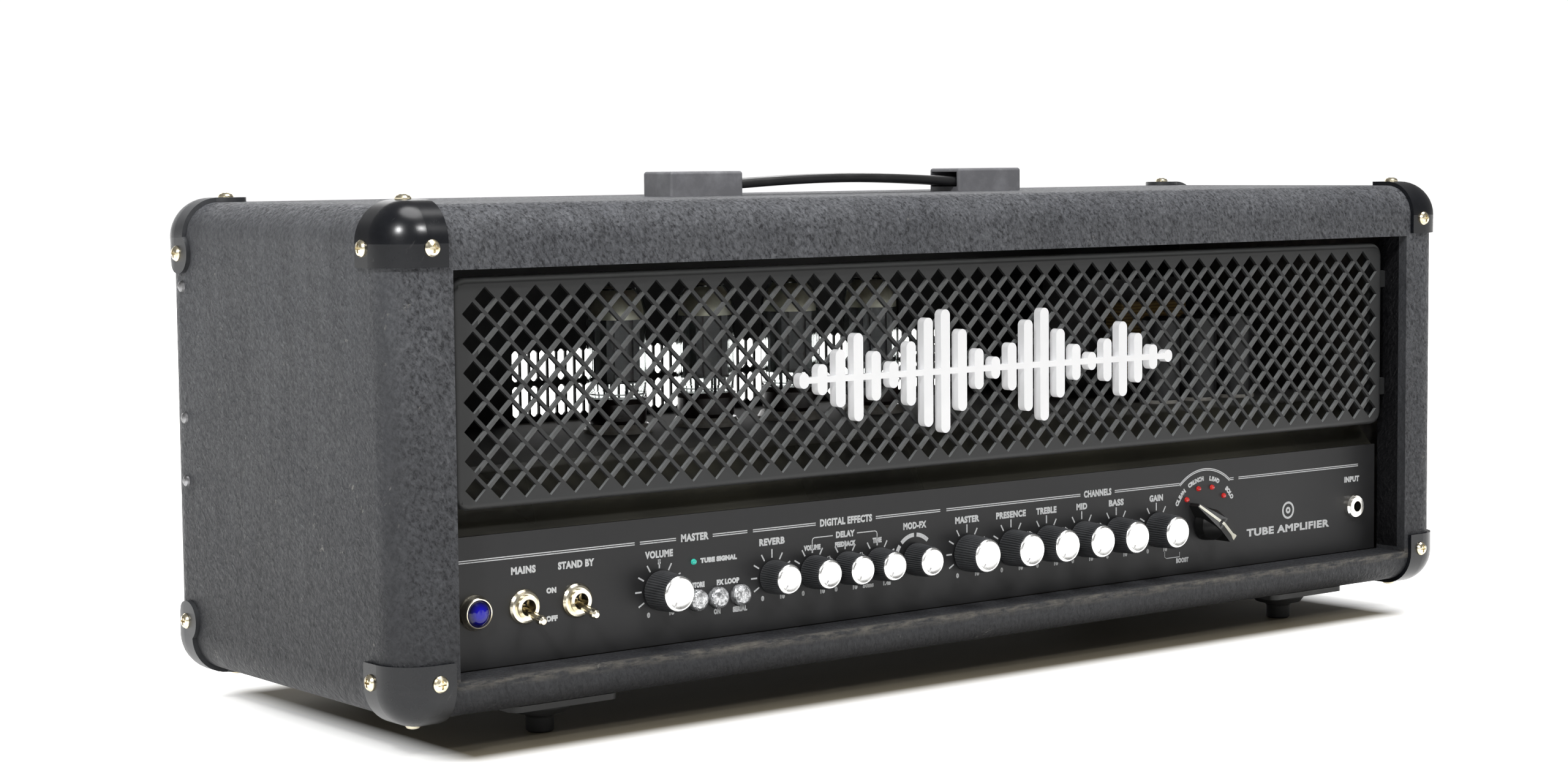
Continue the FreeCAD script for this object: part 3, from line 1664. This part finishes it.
deck_level = size("foot_height") + size("deck_height")
socket_top = deck_level + size("socket_height")
socket = turned(
    "socket_master",
    [
        ("0", "-12"),
        ("socket_radius - 4", "-12"),
        ("socket_radius - 4", "0"),
        ("socket_radius", "0"),
        ("socket_radius", "2"),
        ("socket_radius - 2", "socket_height"),
        ("0", "socket_height"),
    ],
)
preamp_socket = turned(
    "preamp_socket_master",
    [
        ("0", "-10"),
        ("preamp_can_radius - 3", "-10"),
        ("preamp_can_radius - 3", "0"),
        ("preamp_can_radius + 1", "0"),
        ("preamp_can_radius + 1", "2"),
        ("0", "2"),
    ],
)
power_points = [(Vector(x, y, deck_level), UP) for x, y in tube_centres()]
preamp_points = [(Vector(x, y, deck_level), UP) for x, y in preamp_centres()]
node(
    compound(
        "socket_set",
        [
            copies("power_socket_set", socket, power_points),
            copies("preamp_socket_set", preamp_socket, preamp_points),
        ],
    ),
    "tube_sockets",
)

GLASS_LOW = "socket_height + tube_base_height"
GLASS_TOP = f"{GLASS_LOW} + tube_glass_height"
tube_base = turned(
    "tube_base_master",
    [
        ("0", "socket_height"),
        ("tube_base_radius - 2", "socket_height"),
        ("tube_base_radius - 1", "socket_height + 2"),
        ("tube_base_radius - 1", f"{GLASS_LOW} - 3"),
        ("tube_base_radius", GLASS_LOW),
        ("0", GLASS_LOW),
    ],
)
glass_radius = "tube_glass_radius"
glass = turned(
    "tube_glass_master",
    [
        ("tube_glass_radius - 2", GLASS_LOW),
        ("tube_glass_radius - 0.6", f"{GLASS_LOW} + 2"),
        (glass_radius, f"{GLASS_LOW} + 8"),
        (glass_radius, f"{GLASS_TOP} - 14"),
        ("tube_glass_radius * 0.9", f"{GLASS_TOP} - 7"),
        ("tube_glass_radius * 0.66", f"{GLASS_TOP} - 2"),
        ("tube_glass_radius * 0.3", GLASS_TOP),
        ("0", f"{GLASS_TOP} + 0.6"),
        ("0", f"{GLASS_TOP} - 0.6"),
        ("tube_glass_radius * 0.3 - 0.4", f"{GLASS_TOP} - 1.2"),
        ("tube_glass_radius * 0.66 - 0.8", f"{GLASS_TOP} - 3"),
        ("tube_glass_radius * 0.9 - 1", f"{GLASS_TOP} - 7.6"),
        ("tube_glass_radius - tube_glass_wall", f"{GLASS_TOP} - 14.4"),
        ("tube_glass_radius - tube_glass_wall", f"{GLASS_LOW} + 8.4"),
        ("tube_glass_radius - 1.8", f"{GLASS_LOW} + 2.8"),
        ("tube_glass_radius - 3.2", GLASS_LOW),
    ],
)
node(copies("tube_base_set", tube_base, power_points), "power_tube_bases")
node(copies("tube_glass_set", glass, power_points), "power_tube_glass")


def anode_shape():
    """The plate box between its two round mica spacers, on support rods."""
    low = size("socket_height") + size("tube_base_height")
    start = low + 9
    width = size("anode_width")
    depth = size("anode_depth")
    height = size("anode_height")
    spacer = size("tube_glass_radius") - 2.4
    plate = Part.makeBox(width, depth, height, Vector(-width / 2, -depth / 2, start))
    pieces = [
        Part.makeCylinder(spacer, 0.8, Vector(0, 0, start - 0.8)),
        Part.makeCylinder(spacer, 0.8, Vector(0, 0, start + height)),
    ]
    for side in (-1, 1):
        pieces.append(Part.makeCylinder(0.9, start - low - 0.4, Vector(side * width * 0.3, 0, low)))
        pieces.append(
            Part.makeBox(3.5, 1, height, Vector(side * (width / 2 + 1.75) - 1.75, -0.5, start))
        )
        pieces.append(
            Part.makeBox(1, depth + 3, height, Vector(side * width * 0.28 - 0.5, -depth / 2 - 1.5, start))
        )
    return plate.multiFuse(pieces).removeSplitter().Solids[0]


anode = shaped("anode_master", anode_shape())
node(copies("anode_set", anode, power_points), "power_tube_anodes")

preamp_can = turned(
    "preamp_can_master",
    [
        ("0", "2"),
        ("preamp_can_radius", "2"),
        ("preamp_can_radius", "preamp_can_height - 2"),
        ("preamp_can_radius - 2", "preamp_can_height"),
        ("4", "preamp_can_height"),
        ("4", "preamp_can_height - 4"),
        ("0", "preamp_can_height - 4"),
    ],
)
node(copies("preamp_can_set", preamp_can, preamp_points), "preamp_tube_cans")


# ---------------------------------------------------------------- transformers


def transformer(name, x, y):
    """A laminated core with two windows and the winding round its middle leg."""
    centre_y = f"{FRONT} + {y}"
    window_low = f"{DECK} + core_leg"
    window_high = f"{DECK} + core_height - core_leg"
    core_depth = (f"{centre_y} - core_depth / 2", f"{centre_y} + core_depth / 2")
    through = (f"{centre_y} - core_depth", f"{centre_y} + core_depth")
    core = box(
        name + "_stack", (f"{x} - core_width / 2", f"{x} + core_width / 2"), core_depth,
        (DECK, f"{DECK} + core_height"),
    )
    windows = [
        box(
            f"{name}_window_{number}",
            (f"{x} + ({low})", f"{x} + ({high})"),
            through,
            (window_low, window_high),
        )
        for number, (low, high) in enumerate(
            (("-core_width / 2 + core_leg", "-core_leg"), ("core_leg", "core_width / 2 - core_leg"))
        )
    ]
    laminations = cut(name + "_laminations", core, compound(name + "_windows", windows))
    winding = box(
        name + "_winding_block",
        (f"{x} - core_width / 2 + core_leg", f"{x} + core_width / 2 - core_leg"),
        (f"{centre_y} - core_depth / 2 - core_leg", f"{centre_y} + core_depth / 2 + core_leg"),
        (window_low, window_high),
    )
    leg = box(
        name + "_leg", (f"{x} - core_leg", f"{x} + core_leg"), core_depth, (window_low, window_high)
    )
    side_cuts = [
        box(
            f"{name}_clear_{number}",
            (f"{x} + ({low})", f"{x} + ({high})"),
            core_depth,
            (window_low, window_high),
        )
        for number, (low, high) in enumerate(
            (("-core_width / 2", "-core_width / 2 + core_leg"), ("core_width / 2 - core_leg", "core_width / 2"))
        )
    ]
    coil = cut(name + "_coil", winding, compound(name + "_coil_cuts", [leg] + side_cuts))
    return laminations, coil


mains_core, mains_coil = transformer("mains_transformer", "mains_transformer_x", "mains_transformer_y")
output_core, output_coil = transformer(
    "output_transformer", "output_transformer_x", "output_transformer_y"
)
node(compound("core_set", [mains_core, output_core]), "transformer_cores")
node(compound("coil_set", [mains_coil, output_coil]), "transformer_coils")


# ---------------------------------------------------------------- electronics below the deck

board_x = ("-board_half_width", "board_half_width")
BOARD_Z = f"{BASE} + board_level"
board_sheet = box(
    "board_sheet",
    board_x,
    (f"{FRONT} + board_near", f"{FRONT} + board_far - 12"),
    (BOARD_Z, f"{BOARD_Z} + board_thickness"),
)


def board_clearings():
    """Round holes in the circuit board under each tube socket, and one notch per rear jack."""
    level = size("foot_height") + size("board_level") - 1
    tools = [
        Part.makeCylinder(size("socket_radius") - 2, 5, Vector(x, y, level)) for x, y in tube_centres()
    ]
    tools += [
        Part.makeCylinder(size("preamp_can_radius") - 1, 5, Vector(x, y, level))
        for x, y in preamp_centres()
    ]
    return Part.makeCompound(tools)


drilled_board = cut("board_drilled", board_sheet, shaped("board_clearings", board_clearings()))
pillars = [
    cylinder(
        f"board_pillar_{number}", "3", "deck_height - sheet_metal - board_level - board_thickness",
        x, f"{FRONT} + {y}", f"{BOARD_Z} + board_thickness",
    )
    for number, (x, y) in enumerate(
        (x, y)
        for x in ("-board_half_width + 12", "-200", "board_half_width - 12")
        for y in ("board_near + 10", "board_far - 24")
    )
]
node(compound("board_set", [drilled_board] + pillars), "circuit_board")

capacitor = turned(
    "capacitor_master",
    [
        ("0", "0"),
        ("capacitor_radius", "0"),
        ("capacitor_radius", "-capacitor_height + 1.5"),
        ("capacitor_radius - 1.5", "-capacitor_height"),
        ("0", "-capacitor_height"),
    ],
)
capacitor_points = [
    (Vector(x, 0, size("foot_height") + size("board_level")), UP) for x in (60, 100, 140, 180)
]
node(copies("capacitor_set", capacitor, capacitor_points), "filter_capacitors")


# ---------------------------------------------------------------- checks and export

document.recompute()
for item in document.Objects:
    if "Invalid" in item.State or "Error" in item.State:
        raise RuntimeError(f"{item.Name} ({item.Label}) did not compute: {item.State}")
for label, item in nodes.items():
    if item.Shape.isNull() or not item.Shape.isValid() or not item.Shape.Solids:
        raise RuntimeError(f"{label} has no valid solid")

os.makedirs("parts", exist_ok=True)
for label, item in nodes.items():
    item.Shape.exportStep(f"parts/{label}.step")
print(len(nodes), "sub-parts written")
